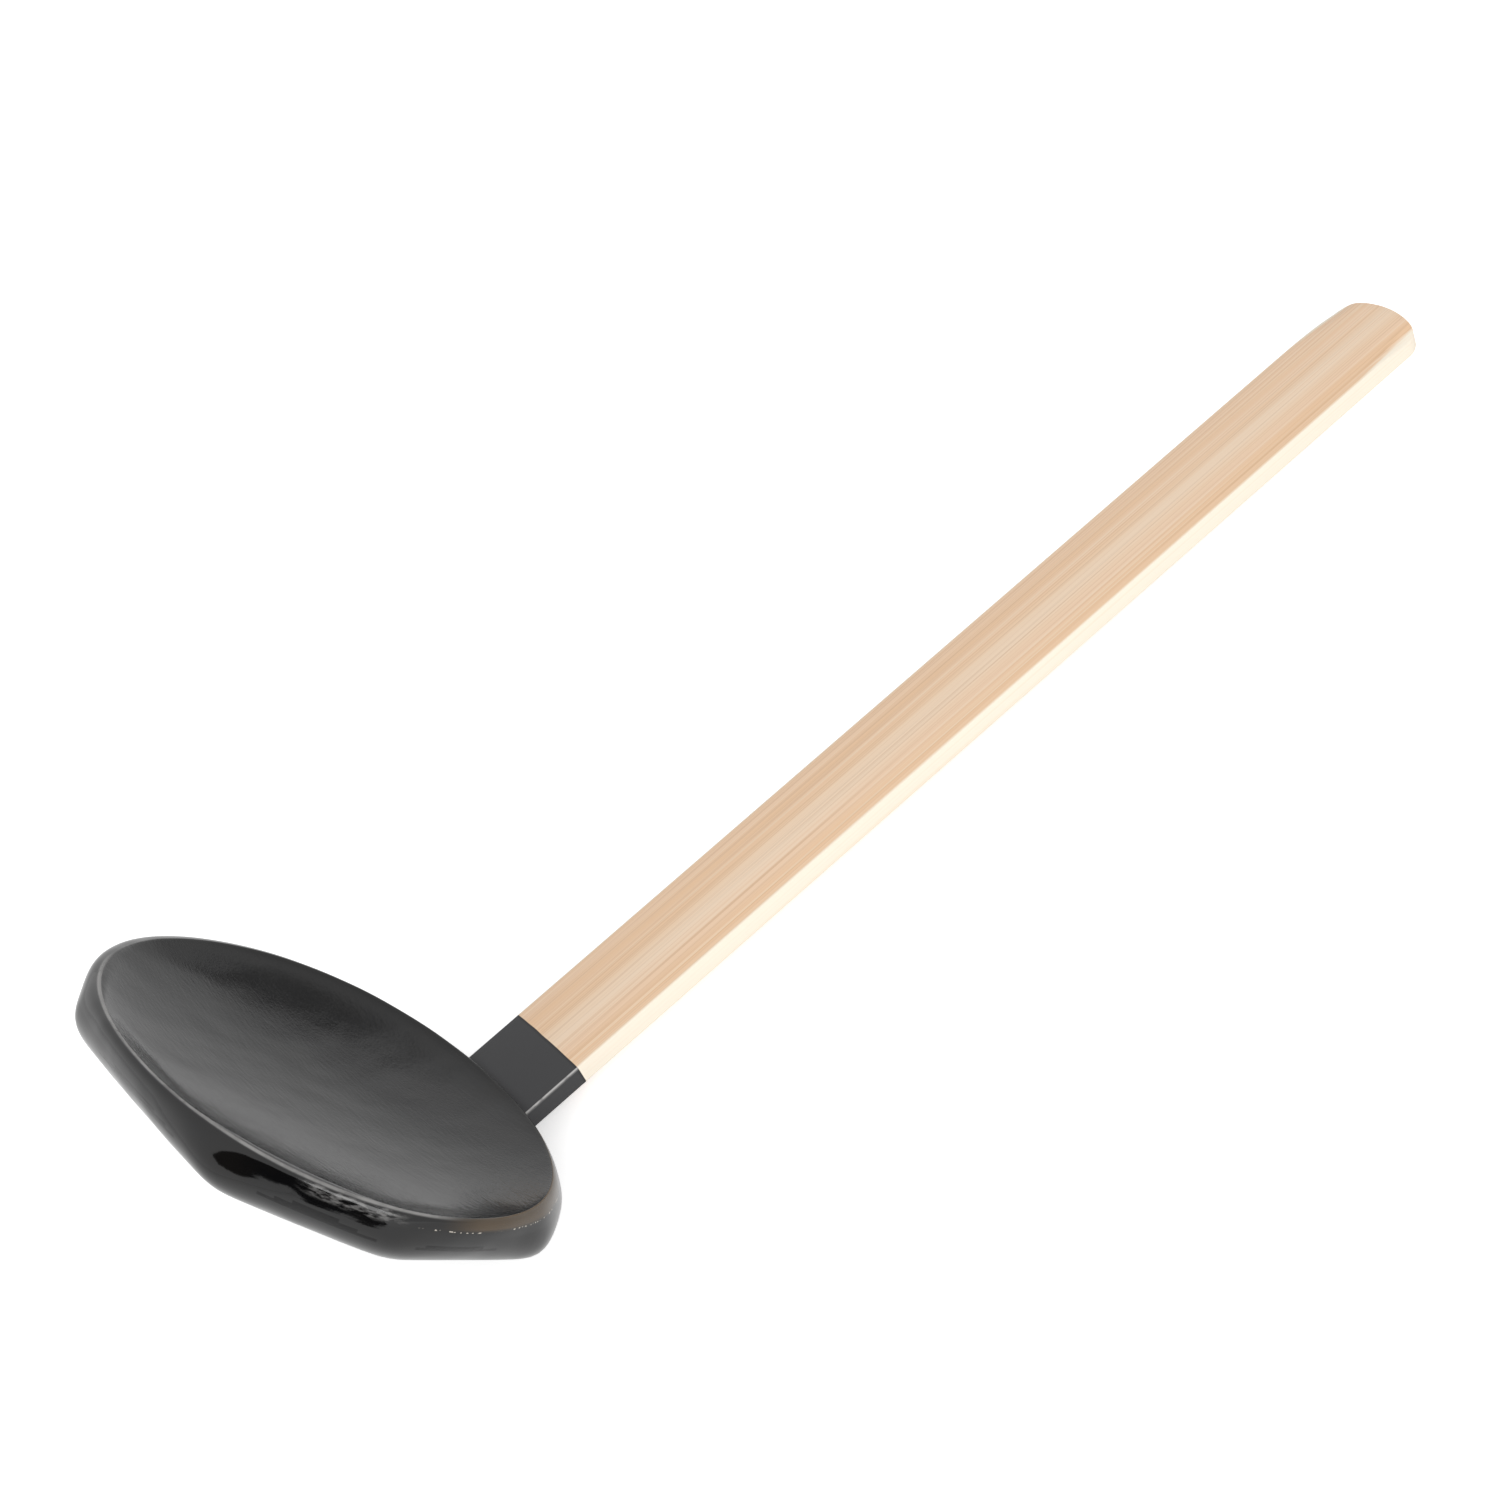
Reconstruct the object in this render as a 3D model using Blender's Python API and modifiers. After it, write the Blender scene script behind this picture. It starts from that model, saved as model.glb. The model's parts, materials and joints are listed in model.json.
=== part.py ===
# Carved wooden ladle: a lacquered bowl with eight facets outside and a bamboo handle
# let into its heel. Lengths are in metres, angles in degrees.
# Each piece is drawn in the bowl's frame: rim level at z = 0, dish opening upwards,
# handle side at +y. The whole ladle is then laid down on its heel and handle tip.

import math

import bmesh
import bpy
import numpy as np
from mathutils import Matrix, Vector

# Rim and dish: both are ovals, where a fullness of 2 is an ellipse and more is squarer.
# The land between them is wider at the two ends and falls from the dish's lip to the rim.
RIM_WIDTH = 0.0908
RIM_DEPTH = 0.0668
RIM_FULLNESS = 2.08
RIM_LAND = 0.0021
RIM_LAND_ENDS = 0.0034
LIP_RISE = 0.0006
RIM_ROUND = 0.0020
DISH_DEPTH = 0.0053
DISH_FULLNESS = 0.8

# Chine: the edge where the facets of the wall turn under. Each lean is how far
# that facet would come in between the rim and the chine if the chine were sharp.
CHINE_DROP = 0.0080
CHINE_ROUND = 0.0070
LEAN_FRONT = 0.0026
LEAN_FRONT_DIAGONAL = 0.0018
LEAN_SIDE = 0.0023
LEAN_BACK_DIAGONAL = -0.0038
LEAN_BACK = 0.0007

# Foot: the flat octagon below the heel
BOWL_HEIGHT = 0.0205
FOOT_WIDTH = 0.0280
FOOT_DEPTH = 0.0300
FOOT_BACK_INSET = 0.0024
FOOT_ROUND = 0.0015

# Handle: a bamboo slat with a crowned skin side, let into the heel without shoulders
HANDLE_WIDTH = 0.0181
HANDLE_EDGE = 0.0038
HANDLE_CROWN = 0.0006
HANDLE_REACH = 0.2125
HANDLE_RISE = 51.6
HANDLE_DROP = 0.0023
HANDLE_EDGE_ROUND = 0.0004
TIP_SAGITTA = 0.0022
TIP_CORNER = 0.0026
TENON_LENGTH = 0.0155

# Peg: pins the tenon, square to the handle, cut flush with the heel
PEG_DIAMETER = 0.0024
PEG_FROM_TENON_END = 0.0035
PEG_BITE = 0.0027

FIT_GAP = 0.0003

# The most of a line that the rounding of its corner may take
ROUND_SHARE = 0.9

# Softness of the octagons' corners: a high number is a sharp corner
CHINE_SOFTNESS = 36
FOOT_SOFTNESS = 36

# Mesh fineness
SPOKES = 96
DISH_STEPS = 12
WALL_STEPS = 4
ROUND_STEPS = 5
CROWN_STEPS = 10
TIP_STEPS = 8
PEG_SIDES = 24
SHARP_ANGLE = 40.0
WELD_DISTANCE = 0.000001
TURN_HALVINGS = 60

LACQUER_BLACK = (0.012, 0.012, 0.013, 1.0)
BAMBOO_BEIGE = (0.76, 0.58, 0.40, 1.0)
PEG_BAMBOO = (0.62, 0.44, 0.27, 1.0)


def clear_scene():
    for item in list(bpy.data.objects):
        bpy.data.objects.remove(item, do_unlink=True)


def new_collection(name):
    collection = bpy.data.collections.new(name)
    bpy.context.scene.collection.children.link(collection)
    return collection


def new_material(name, colour, roughness):
    material = bpy.data.materials.new(name)
    material.use_nodes = True
    shader = material.node_tree.nodes["Principled BSDF"]
    shader.inputs["Base Color"].default_value = colour
    shader.inputs["Roughness"].default_value = roughness
    shader.inputs["Metallic"].default_value = 0.0
    return material


def new_object(name, mesh, collection, parent):
    item = bpy.data.objects.new(name, mesh)
    collection.objects.link(item)
    item.parent = parent
    return item


def mark_cutter(item):
    item.hide_render = True
    item.display_type = "WIRE"


def add_boolean(item, cutter, operation):
    cut = item.modifiers.new(operation.lower(), "BOOLEAN")
    cut.operation = operation
    cut.solver = "EXACT"
    cut.object = cutter


def oval_radius(half_width, half_depth, angle):
    across = abs(math.sin(angle)) / half_width
    along = abs(math.cos(angle)) / half_depth
    return (across ** RIM_FULLNESS + along ** RIM_FULLNESS) ** (-1.0 / RIM_FULLNESS)


def ellipse_reach(half_width, half_depth, angle):
    return math.hypot(half_width * math.sin(angle), half_depth * math.cos(angle))


def soft_polygon(angle, reaches, softness):
    # Radius at an angle from +y of a polygon whose sides lie at the given reaches,
    # one side every equal step round, with softly rounded corners.
    step = math.tau / len(reaches)
    total = 0.0
    for number, reach in enumerate(reaches):
        facing = max(0.0, math.cos(angle - number * step))
        total += (facing / reach) ** softness
    return total ** (-1.0 / softness)


def eight_reaches(half_width, half_depth):
    return [ellipse_reach(half_width, half_depth, number * math.tau / 8) for number in range(8)]


def around(angle, radius, z, centre_y=0.0):
    return Vector((radius * math.sin(angle), centre_y + radius * math.cos(angle), z))


def rounded_corner(before, corner, after, reach):
    # Points on a curve that leaves one line and joins the next within reach of the corner,
    # or within most of the line where that is shorter.
    back, ahead = before - corner, after - corner
    start = corner + back.normalized() * min(reach, ROUND_SHARE * back.length)
    end = corner + ahead.normalized() * min(reach, ROUND_SHARE * ahead.length)
    points = []
    for number in range(ROUND_STEPS + 1):
        t = number / ROUND_STEPS
        points.append(start * (1 - t) ** 2 + corner * 2 * t * (1 - t) + end * t ** 2)
    return points


def between(start, end, steps):
    return [start.lerp(end, number / steps) for number in range(1, steps)]


def outside_corners(angle):
    # Rim, chine and foot where one spoke of the bowl crosses them
    rim_reaches = eight_reaches(RIM_WIDTH / 2, RIM_DEPTH / 2)
    leans = [LEAN_BACK, LEAN_BACK_DIAGONAL, LEAN_SIDE, LEAN_FRONT_DIAGONAL,
             LEAN_FRONT, LEAN_FRONT_DIAGONAL, LEAN_SIDE, LEAN_BACK_DIAGONAL]
    chine_reaches = [reach - lean for reach, lean in zip(rim_reaches, leans)]
    foot_reaches = eight_reaches(FOOT_WIDTH / 2, FOOT_DEPTH / 2)
    foot_centre = RIM_DEPTH / 2 - FOOT_BACK_INSET - FOOT_DEPTH / 2
    rim = around(angle, oval_radius(RIM_WIDTH / 2, RIM_DEPTH / 2, angle), 0.0)
    chine = around(angle, soft_polygon(angle, chine_reaches, CHINE_SOFTNESS), -CHINE_DROP)
    foot_radius = soft_polygon(angle, foot_reaches, FOOT_SOFTNESS)
    foot = around(angle, foot_radius, -BOWL_HEIGHT, foot_centre)
    foot_middle = Vector((0.0, foot_centre, -BOWL_HEIGHT))
    return rim, chine, foot, foot_middle


def lip_point(angle, share=1.0, sink=0.0):
    # A point of the dish at this share of the way out to its lip, sunk below the lip
    edge = oval_radius(RIM_WIDTH / 2 - RIM_LAND_ENDS, RIM_DEPTH / 2 - RIM_LAND, angle)
    return around(angle, edge * share, LIP_RISE - sink)


def outside_profile(angle):
    rim, chine, foot, foot_middle = outside_corners(angle)
    rim_round = rounded_corner(lip_point(angle), rim, chine, RIM_ROUND)
    chine_round = rounded_corner(rim_round[-1], chine, foot, CHINE_ROUND)
    foot_round = rounded_corner(chine_round[-1], foot, foot_middle, FOOT_ROUND)
    wall = between(rim_round[-1], chine_round[0], WALL_STEPS)
    underside = between(chine_round[-1], foot_round[0], WALL_STEPS)
    return rim_round + wall + chine_round + underside + foot_round


def dish_profile(angle):
    # From near the dish's middle out to the lip
    points = []
    for number in range(1, DISH_STEPS + 1):
        share = math.sin(number / DISH_STEPS * math.pi / 2)
        sink = DISH_DEPTH * max(0.0, 1 - share ** 2) ** DISH_FULLNESS
        points.append(lip_point(angle, share, sink))
    return points


def loft(name, profiles, middle_height=None):
    # Joins the profiles of all spokes. The inner end closes in one point at
    # middle_height, or flat, and the outer end closes flat.
    work = bmesh.new()
    rings = [[work.verts.new(point) for point in profile] for profile in profiles]
    count = len(rings)
    for number, ring in enumerate(rings):
        following = rings[(number + 1) % count]
        for low in range(len(ring) - 1):
            work.faces.new((following[low], following[low + 1], ring[low + 1], ring[low]))
    work.faces.new([ring[-1] for ring in rings])
    if middle_height is None:
        work.faces.new([ring[0] for ring in reversed(rings)])
    else:
        pole = work.verts.new((0.0, 0.0, middle_height))
        for number, ring in enumerate(rings):
            work.faces.new((pole, rings[(number + 1) % count][0], ring[0]))
    mesh = bpy.data.meshes.new(name)
    work.to_mesh(mesh)
    work.free()
    return mesh


def spoke_angles():
    return [number * math.tau / SPOKES for number in range(SPOKES)]


def make_bowl(collection, parent):
    profiles = [dish_profile(angle) + outside_profile(angle) for angle in spoke_angles()]
    mesh = loft("bowl", profiles, LIP_RISE - DISH_DEPTH)
    mesh.shade_smooth()
    mesh.set_sharp_from_angle(angle=math.radians(SHARP_ANGLE))
    mesh.materials.append(new_material("black_lacquer", LACQUER_BLACK, 0.18))
    return new_object("bowl", mesh, collection, parent)


def make_bowl_blank(collection, parent):
    # The bowl's outside before the dish and the mortise are cut
    mesh = loft("bowl_blank", [outside_profile(angle) for angle in spoke_angles()])
    blank = new_object("bowl_blank", mesh, collection, parent)
    mark_cutter(blank)
    return blank


def extruded_outline(name, points, half_thickness):
    # A flat outline, extruded to both sides of its plane and made a closed mesh
    curve = bpy.data.curves.new(name, "CURVE")
    curve.dimensions = "2D"
    curve.fill_mode = "BOTH"
    curve.extrude = half_thickness
    spline = curve.splines.new("POLY")
    spline.points.add(len(points) - 1)
    for spot, (x, y) in zip(spline.points, points):
        spot.co = (x, y, 0.0, 1.0)
    spline.use_cyclic_u = True
    drawn = bpy.data.objects.new(name + "_curve", curve)
    bpy.context.scene.collection.objects.link(drawn)
    graph = bpy.context.evaluated_depsgraph_get()
    mesh = bpy.data.meshes.new_from_object(drawn.evaluated_get(graph))
    bpy.data.objects.remove(drawn, do_unlink=True)
    work = bmesh.new()
    work.from_mesh(mesh)
    bmesh.ops.remove_doubles(work, verts=work.verts, dist=WELD_DISTANCE)
    bmesh.ops.recalc_face_normals(work, faces=work.faces)
    work.to_mesh(mesh)
    work.free()
    return mesh


def handle_section(gap):
    # Across the handle: a flat underside, square edges and a crowned top
    half = HANDLE_WIDTH / 2 + gap
    points = [(-half, -HANDLE_EDGE - gap), (half, -HANDLE_EDGE - gap)]
    for number in range(CROWN_STEPS + 1):
        across = half * (1 - 2 * number / CROWN_STEPS)
        points.append((across, gap + HANDLE_CROWN * (1 - (across / half) ** 2)))
    return points


def tip_arc(across):
    return HANDLE_REACH - TIP_SAGITTA * (across / (HANDLE_WIDTH / 2)) ** 2


def handle_plan():
    # Seen from above: straight edges and a far end that is an arc with rounded corners
    half = HANDLE_WIDTH / 2
    side = Vector((half, -TENON_LENGTH))
    arc_end = half - TIP_CORNER
    corner = rounded_corner(side, Vector((half, tip_arc(half))),
                            Vector((arc_end, tip_arc(arc_end))), TIP_CORNER)
    tip = [(spot.x, spot.y) for spot in corner]
    for number in range(1, TIP_STEPS):
        across = tip[len(corner) - 1][0] * (1 - 2 * number / TIP_STEPS)
        tip.append((across, tip_arc(across)))
    tip += [(-spot.x, spot.y) for spot in reversed(corner)]
    return [(-half, -TENON_LENGTH), (half, -TENON_LENGTH)] + tip


def section_along_handle(name, gap, start, end, collection, parent):
    # The section swept from start to end along the handle
    mesh = extruded_outline(name, handle_section(gap), (end - start) / 2)
    turn = Matrix.Rotation(math.pi / 2, 4, "X")
    mesh.transform(Matrix.Translation((0.0, (start + end) / 2, 0.0)) @ turn)
    cutter = new_object(name, mesh, collection, parent)
    mark_cutter(cutter)
    return cutter


def make_handle(parts, cutters, seat):
    tall = HANDLE_EDGE + HANDLE_CROWN
    mesh = extruded_outline("handle", handle_plan(), 2 * tall)
    mesh.materials.append(new_material("bamboo", BAMBOO_BEIGE, 0.55))
    handle = new_object("handle", mesh, parts, seat)
    profile = section_along_handle("handle_profile", 0.0, -2 * TENON_LENGTH,
                                   HANDLE_REACH + TENON_LENGTH, cutters, seat)
    add_boolean(handle, profile, "INTERSECT")
    bevel = handle.modifiers.new("soft_edges", "BEVEL")
    bevel.width = HANDLE_EDGE_ROUND
    bevel.segments = 2
    bevel.limit_method = "ANGLE"
    bevel.angle_limit = math.radians(SHARP_ANGLE)
    return handle


def make_mortise(collection, seat):
    # The handle's own section with a gap all round, open to the back of the bowl
    return section_along_handle("mortise", FIT_GAP, -TENON_LENGTH - FIT_GAP,
                                RIM_DEPTH / 2, collection, seat)


def peg_cylinder(name, gap, collection, seat):
    # Square to the handle, from below the heel up into the wood over the tenon
    low = -BOWL_HEIGHT
    high = HANDLE_CROWN + PEG_BITE + gap
    work = bmesh.new()
    bmesh.ops.create_cone(work, cap_ends=True, segments=PEG_SIDES, depth=high - low,
                          radius1=PEG_DIAMETER / 2 + gap, radius2=PEG_DIAMETER / 2 + gap)
    mesh = bpy.data.meshes.new(name)
    work.to_mesh(mesh)
    work.free()
    along = PEG_FROM_TENON_END - TENON_LENGTH
    mesh.transform(Matrix.Translation((0.0, along, (low + high) / 2)))
    mesh.shade_smooth()
    mesh.set_sharp_from_angle(angle=math.radians(SHARP_ANGLE))
    return new_object(name, mesh, collection, seat)


def make_peg(parts, seat, blank):
    peg = peg_cylinder("tenon_peg", 0.0, parts, seat)
    peg.data.materials.append(new_material("peg_bamboo", PEG_BAMBOO, 0.6))
    add_boolean(peg, blank, "INTERSECT")
    return peg


def evaluated_points(item):
    graph = bpy.context.evaluated_depsgraph_get()
    solid = item.evaluated_get(graph)
    return np.array([solid.matrix_world @ vertex.co for vertex in solid.data.vertices])


def lie_down(root, bowl, handle):
    # Turns the ladle about x until its heel and its handle's tip are equally low, then
    # puts the middle of its footprint at the origin.
    bpy.context.view_layer.update()
    bowl_points = evaluated_points(bowl)
    handle_points = evaluated_points(handle)
    low_turn, high_turn = 0.0, math.pi / 2
    for _ in range(TURN_HALVINGS):
        turn = (low_turn + high_turn) / 2
        up = np.array([0.0, -math.sin(turn), math.cos(turn)])
        if (handle_points @ up).min() > (bowl_points @ up).min():
            low_turn = turn
        else:
            high_turn = turn
    rotation = Matrix.Rotation(-turn, 4, "X")
    laid = np.vstack([bowl_points, handle_points]) @ np.array(rotation.to_3x3()).T
    lowest, highest = laid.min(axis=0), laid.max(axis=0)
    middle = (lowest + highest) / 2
    root.matrix_world = Matrix.Translation((-middle[0], -middle[1], -lowest[2])) @ rotation


def main():
    clear_scene()
    parts = new_collection("ladle")
    cutters = new_collection("cutters")

    root = bpy.data.objects.new("ladle_root", None)
    parts.objects.link(root)
    seat = bpy.data.objects.new("handle_seat", None)
    parts.objects.link(seat)
    seat.parent = root
    seat.location = (0.0, RIM_DEPTH / 2, -HANDLE_DROP)
    seat.rotation_euler = (math.radians(HANDLE_RISE), 0.0, 0.0)

    bowl = make_bowl(parts, root)
    blank = make_bowl_blank(cutters, root)
    handle = make_handle(parts, cutters, seat)
    make_peg(parts, seat, blank)

    peg_hole = peg_cylinder("peg_hole", FIT_GAP, cutters, seat)
    mark_cutter(peg_hole)
    add_boolean(bowl, make_mortise(cutters, seat), "DIFFERENCE")
    add_boolean(bowl, peg_hole, "DIFFERENCE")
    add_boolean(handle, peg_hole, "DIFFERENCE")

    lie_down(root, bowl, handle)
    bpy.context.view_layer.update()


main()
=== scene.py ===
import json
import math

import bmesh
import bpy
from mathutils import Matrix, Vector


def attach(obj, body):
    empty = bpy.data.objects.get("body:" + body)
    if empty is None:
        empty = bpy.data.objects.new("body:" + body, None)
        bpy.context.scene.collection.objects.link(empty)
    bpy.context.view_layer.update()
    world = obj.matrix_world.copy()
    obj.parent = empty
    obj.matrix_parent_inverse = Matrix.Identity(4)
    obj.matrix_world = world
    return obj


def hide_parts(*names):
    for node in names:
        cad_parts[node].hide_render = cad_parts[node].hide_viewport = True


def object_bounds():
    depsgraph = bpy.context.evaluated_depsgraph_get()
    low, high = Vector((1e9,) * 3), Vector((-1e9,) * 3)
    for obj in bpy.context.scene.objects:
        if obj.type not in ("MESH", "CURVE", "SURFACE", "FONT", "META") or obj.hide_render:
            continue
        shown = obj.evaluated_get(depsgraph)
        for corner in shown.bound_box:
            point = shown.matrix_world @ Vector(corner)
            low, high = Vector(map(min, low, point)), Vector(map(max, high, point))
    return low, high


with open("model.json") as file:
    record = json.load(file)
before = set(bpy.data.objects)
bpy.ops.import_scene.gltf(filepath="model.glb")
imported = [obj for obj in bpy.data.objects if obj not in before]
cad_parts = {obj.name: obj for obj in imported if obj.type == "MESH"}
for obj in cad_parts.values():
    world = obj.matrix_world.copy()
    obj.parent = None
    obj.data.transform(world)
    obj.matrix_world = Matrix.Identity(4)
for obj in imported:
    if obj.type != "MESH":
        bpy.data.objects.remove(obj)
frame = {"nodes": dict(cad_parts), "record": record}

# black lacquered ladle with a split bamboo handle, lying on its heel and the handle's tip
cadLow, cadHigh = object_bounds()
print("frame loaded, box in mm:", [round(1000 * v, 1) for v in cadHigh - cadLow])


# small helpers for working as by hand
def deselectAll():
    if bpy.context.mode != "OBJECT":
        bpy.ops.object.mode_set(mode="OBJECT")
    bpy.ops.object.select_all(action="DESELECT")


def pick(piece):
    deselectAll()
    piece.select_set(True)
    bpy.context.view_layer.objects.active = piece


def startEdit(piece, selectMode="VERT"):
    pick(piece)
    bpy.ops.object.mode_set(mode="EDIT")
    bpy.ops.mesh.select_mode(type=selectMode)


def endEdit():
    bpy.ops.object.mode_set(mode="OBJECT")


def applyModifier(piece, modifier):
    pick(piece)
    bpy.ops.object.modifier_apply(modifier=modifier.name)


def bakePlace(piece, place):
    # puts the piece where it belongs and leaves its object at the origin
    piece.matrix_world = place
    pick(piece)
    bpy.ops.object.transform_apply(location=True, rotation=True, scale=True)


def cutWith(piece, cutter):
    cut = piece.modifiers.new("cut", "BOOLEAN")
    cut.operation = "DIFFERENCE"
    cut.solver = "EXACT"
    cut.object = cutter
    applyModifier(piece, cut)
    bpy.data.objects.remove(cutter, do_unlink=True)


bowlSet = {
    "rimWidth": 0.0908,
    "rimDepth": 0.0668,
    "rimFullness": 2.08,       # 2 is an ellipse
    "rimLand": 0.0012,         # from the rim in to the lip of the dish
    "rimLandEnds": 0.0022,     # the same at the two ends
    "dishShift": 0.0010,       # the dish was cut a little to the right
    "lipRise": 0.0003,         # the lip stands a little above the rim's plane
    "rimDrop": 0.0003,         # and the rim's edge lies a little below it
    "rimRound": 0.0024,
    "innerRound": 0.0003,
    "dishDepth": 0.0056,
    "dishFullness": 0.8,
    "bottomHalves": (0.0472, 0.0350),    # where the round bottom would come up to the lip's height
    "bottomFullness": 1.6,
    "bottomSoft": 0.006,       # rounds off the middle of the bottom
    "sideClimb": 0.0140,       # steepness of the side that runs in from the lip
    "bendSoft": 0.00012,       # softness of the bend between bottom and side
    "bendEnds": (-0.010, 0.014),         # towards the handle the bend fades into one even round
    "chineDrop": 0.0080,       # height of the upright facets
    "chineRound": 0.0070,
    "leanFront": 0.0026,       # how far each facet comes in down to a sharp chine
    "leanFrontDiagonal": 0.0018,
    "leanSide": 0.0023,
    "leanBackDiagonal": -0.0038,
    "leanBack": 0.0007,
    "cornerHardness": 36,      # high is a sharp octagon corner
    "height": 0.0205,
    "footWidth": 0.0280,
    "footDepth": 0.0300,
    "footBackInset": 0.0024,
    "footRound": 0.0015,
    "roundShare": 0.9,         # the most of a line that the rounding of its corner takes
    "facets": 8,
    "spokes": 192,
    "dishRings": range(22, 88, 3),       # in degrees, closer together towards the lip
    "innerSteps": 5,           # faces across each rounding and along each wall
    "rimSteps": 8,
    "wallSteps": 4,
    "chineSteps": 16,
    "underSteps": 12,
    "footSteps": 6,
    "smoothAngle": math.radians(32),     # edges sharper than this stay sharp
    "carvingSize": 0.011,      # soft unevenness left by the gouge and the brush
    "carvingHeight": 0.00010,
}

# how the bowl is turned as the ladle lies, from the foot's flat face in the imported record
footFace = next(m for m in frame["record"]["mounts"] if m["name"] == "foot_face")
bowlUp = -Vector(footFace["axis"]).normalized()
bowlAcross = Vector((1.0, 0.0, 0.0))
bowlBack = bowlUp.cross(bowlAcross)
footMiddle = bowlSet["rimDepth"] / 2 - bowlSet["footBackInset"] - bowlSet["footDepth"] / 2
laid = Matrix((bowlAcross, bowlBack, bowlUp)).transposed().to_4x4()
footCentre = Vector((0, footMiddle, -bowlSet["height"]))
laid.translation = Vector(footFace["pos_m"]) - laid.to_3x3() @ footCentre

# half the width and half the depth of the rim and of the lip
rimHalves = (bowlSet["rimWidth"] / 2, bowlSet["rimDepth"] / 2)
lipHalves = (rimHalves[0] - bowlSet["rimLandEnds"], rimHalves[1] - bowlSet["rimLand"])


def ovalShare(x, y, halves, full):
    # 0 in the middle of an oval and 1 on it
    return (abs(x / halves[0]) ** full + abs(y / halves[1]) ** full) ** (1 / full)


def ovalRadius(angle, halves):
    return 1 / ovalShare(math.sin(angle), math.cos(angle), halves, bowlSet["rimFullness"])


def octagonRadius(angle, reaches):
    hard = bowlSet["cornerHardness"]
    total = 0.0
    for number, reach in enumerate(reaches):
        total += (max(0.0, math.cos(angle - number * math.tau / bowlSet["facets"])) / reach) ** hard
    return total ** (-1 / hard)


def facetReaches(width, depth, leans=(0,) * bowlSet["facets"]):
    # how far each facet lies from the middle
    reaches = []
    for number, lean in enumerate(leans):
        angle = number * math.tau / bowlSet["facets"]
        reaches.append(math.hypot(width / 2 * math.sin(angle), depth / 2 * math.cos(angle)) - lean)
    return reaches


def around(angle, radius, z, middle=0.0):
    return Vector((radius * math.sin(angle), middle + radius * math.cos(angle), z))


def softCorner(before, corner, after, reach, steps):
    # a curve in place of the corner, starting and ending this far from it
    back, ahead = before - corner, after - corner
    start = corner + back.normalized() * min(reach, bowlSet["roundShare"] * back.length)
    end = corner + ahead.normalized() * min(reach, bowlSet["roundShare"] * ahead.length)
    points = []
    for number in range(steps + 1):
        t = number / steps
        points.append(start * (1 - t) ** 2 + corner * 2 * t * (1 - t) + end * t ** 2)
    return points


def straight(start, end, steps):
    # the points between the two, without them
    return [start.lerp(end, number / steps) for number in range(1, steps)]


def dishShare(spot):
    # 0 in the middle of the dish and 1 on its lip
    return ovalShare(spot.x - bowlSet["dishShift"], spot.y, lipHalves, bowlSet["rimFullness"])


def dishHeight(spot):
    # a shallow round bottom with a steeper side up to the lip, and one even round towards the handle
    def hollow(share):
        return -bowlSet["dishDepth"] * max(0.0, 1 - share ** 2) ** bowlSet["dishFullness"]
    share = dishShare(spot)
    x = math.hypot(spot.x - bowlSet["dishShift"], bowlSet["bottomSoft"])
    y = math.hypot(spot.y, bowlSet["bottomSoft"])
    bottom = hollow(ovalShare(x, y, bowlSet["bottomHalves"], bowlSet["bottomFullness"]))
    side = -bowlSet["sideClimb"] * (1 - share)
    bent = (bottom + side + math.hypot(bottom - side, bowlSet["bendSoft"])) / 2
    start, end = bowlSet["bendEnds"]
    far = min(1.0, max(0.0, (spot.y - start) / (end - start)))
    far = far * far * (3 - 2 * far)
    return bowlSet["lipRise"] + bent * (1 - far) + hollow(share) * far


leans = [bowlSet["leanBack"], bowlSet["leanBackDiagonal"], bowlSet["leanSide"],
         bowlSet["leanFrontDiagonal"], bowlSet["leanFront"], bowlSet["leanFrontDiagonal"],
         bowlSet["leanSide"], bowlSet["leanBackDiagonal"]]
chineReaches = facetReaches(bowlSet["rimWidth"], bowlSet["rimDepth"], leans)
footReaches = facetReaches(bowlSet["footWidth"], bowlSet["footDepth"])
dishShares = [math.sin(math.radians(a)) for a in bowlSet["dishRings"]]


def spokeProfile(angle):
    # one spoke of the bowl from inside the dish over the rim and down to the foot
    edge = ovalRadius(angle, lipHalves)
    shift = Vector((bowlSet["dishShift"], 0, 0))
    dish = [shift + around(angle, edge * share, 0.0) for share in dishShares]
    for spot in dish:
        spot.z = dishHeight(spot)
    lip = shift + around(angle, edge, bowlSet["lipRise"])
    rim = around(angle, ovalRadius(angle, rimHalves), -bowlSet["rimDrop"])
    chine = around(angle, octagonRadius(angle, chineReaches), -bowlSet["chineDrop"])
    foot = around(angle, octagonRadius(angle, footReaches), -bowlSet["height"], footMiddle)
    profile = dish
    profile += softCorner(dish[-1], lip, rim, bowlSet["innerRound"], bowlSet["innerSteps"])
    profile += softCorner(profile[-1], rim, chine, bowlSet["rimRound"], bowlSet["rimSteps"])
    turn = softCorner(profile[-1], chine, foot, bowlSet["chineRound"], bowlSet["chineSteps"])
    profile += straight(profile[-1], turn[0], bowlSet["wallSteps"]) + turn
    turn = softCorner(profile[-1], foot, footCentre, bowlSet["footRound"], bowlSet["footSteps"])
    profile += straight(profile[-1], turn[0], bowlSet["underSteps"]) + turn
    return profile


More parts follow.
